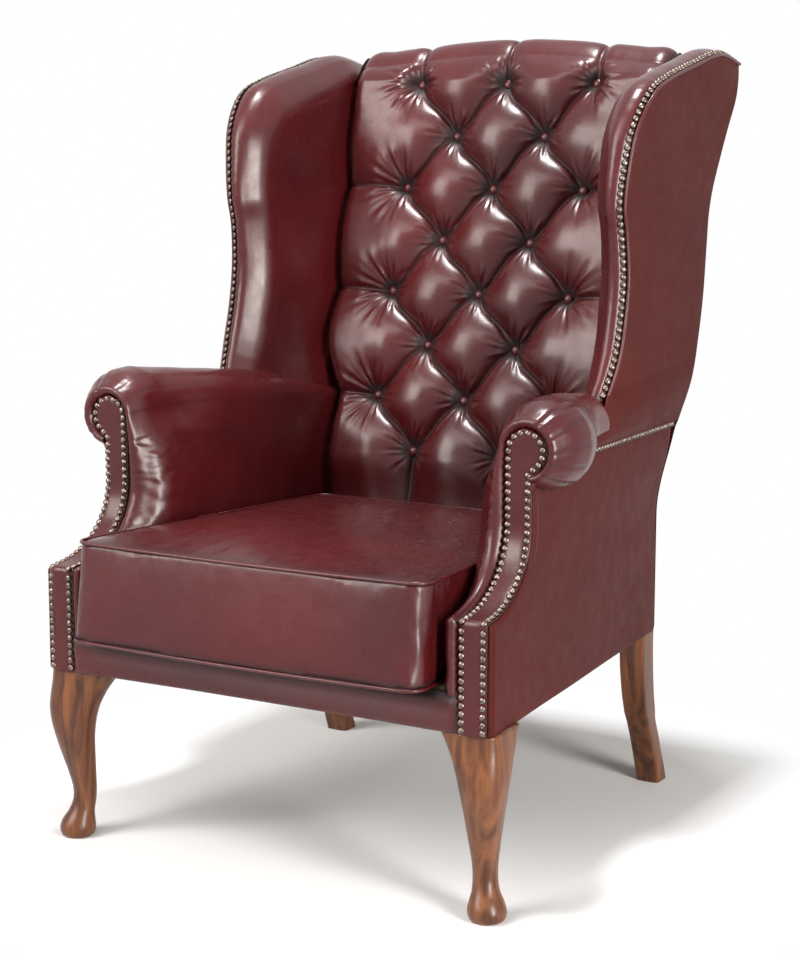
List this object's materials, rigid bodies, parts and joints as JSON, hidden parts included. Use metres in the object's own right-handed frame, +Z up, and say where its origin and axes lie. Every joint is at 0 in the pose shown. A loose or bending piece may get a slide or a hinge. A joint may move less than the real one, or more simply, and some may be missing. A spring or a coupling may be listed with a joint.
{
  "type": "wing armchair",
  "caption": "Deep-buttoned leather wing armchair with nailed scroll arms, a loose welted seat cushion, cabriole front legs and raked rear legs.",
  "frame": {"origin": "on the floor, midway across the chair and midway between the cushion's front edge and the rear corners of the wings", "axes": "+X to the right as seen by someone facing the chair, +Y from the front towards the back, +Z up"},
  "size_m": [0.794, 0.8731, 1.132],
  "materials": {
    "frame_wood": "planed beech, unfinished",
    "leg_wood": "polished dark walnut",
    "steel": "plain",
    "cloth": "woven, plain",
    "wadding": "soft filling",
    "leather": "glossy oxblood leather",
    "nail_metal": "antiqued, domed",
    "dust_cloth": "thin black lining"
  },
  "bodies": {
    "chair": {"seat_front_rail": "frame_wood", "seat_rear_rail": "frame_wood", "seat_side_rail_left": "frame_wood", "seat_side_rail_right": "frame_wood", "corner_blocks": "frame_wood", "arm_post_left": "frame_wood", "arm_post_right": "frame_wood", "arm_rail_left": "frame_wood", "arm_rail_right": "frame_wood", "rear_upright_left": "frame_wood", "rear_upright_right": "frame_wood", "back_crest_rail": "frame_wood", "back_stay_rail": "frame_wood", "wing_board_left": "frame_wood", "wing_board_right": "frame_wood", "front_leg_left": "leg_wood", "front_leg_right": "leg_wood", "rear_leg_left": "leg_wood", "rear_leg_right": "leg_wood", "leg_screws": "steel", "seat_springs": "steel", "spring_clips": "steel", "seat_platform": "cloth", "back_webbing": "cloth", "back_pad": "wadding", "inside_back": "leather", "back_buttons": "leather", "inside_arm_left": "leather", "inside_arm_right": "leather", "inside_wing_left": "leather", "inside_wing_right": "leather", "arm_facing_left": "leather", "arm_facing_right": "leather", "outside_arm_left": "leather", "outside_arm_right": "leather", "outside_wing_left": "leather", "outside_wing_right": "leather", "outside_back": "leather", "front_border": "leather", "dust_cover": "dust_cloth", "facing_nails_left": "nail_metal", "facing_nails_right": "nail_metal", "wing_nails_left": "nail_metal", "wing_nails_right": "nail_metal", "arm_nails_left": "nail_metal", "arm_nails_right": "nail_metal"},
    "cushion": {"cushion_top": "leather", "cushion_border": "leather", "cushion_base": "leather", "cushion_piping_top": "leather", "cushion_piping_base": "leather", "cushion_core": "wadding"}
  },
  "joints": [
    {"name": "cushion_slide", "type": "slide", "parent": "chair", "child": "cushion", "axis": [0, -0.9996, 0.0279], "range_m": [0, 0.53]}
  ]
}
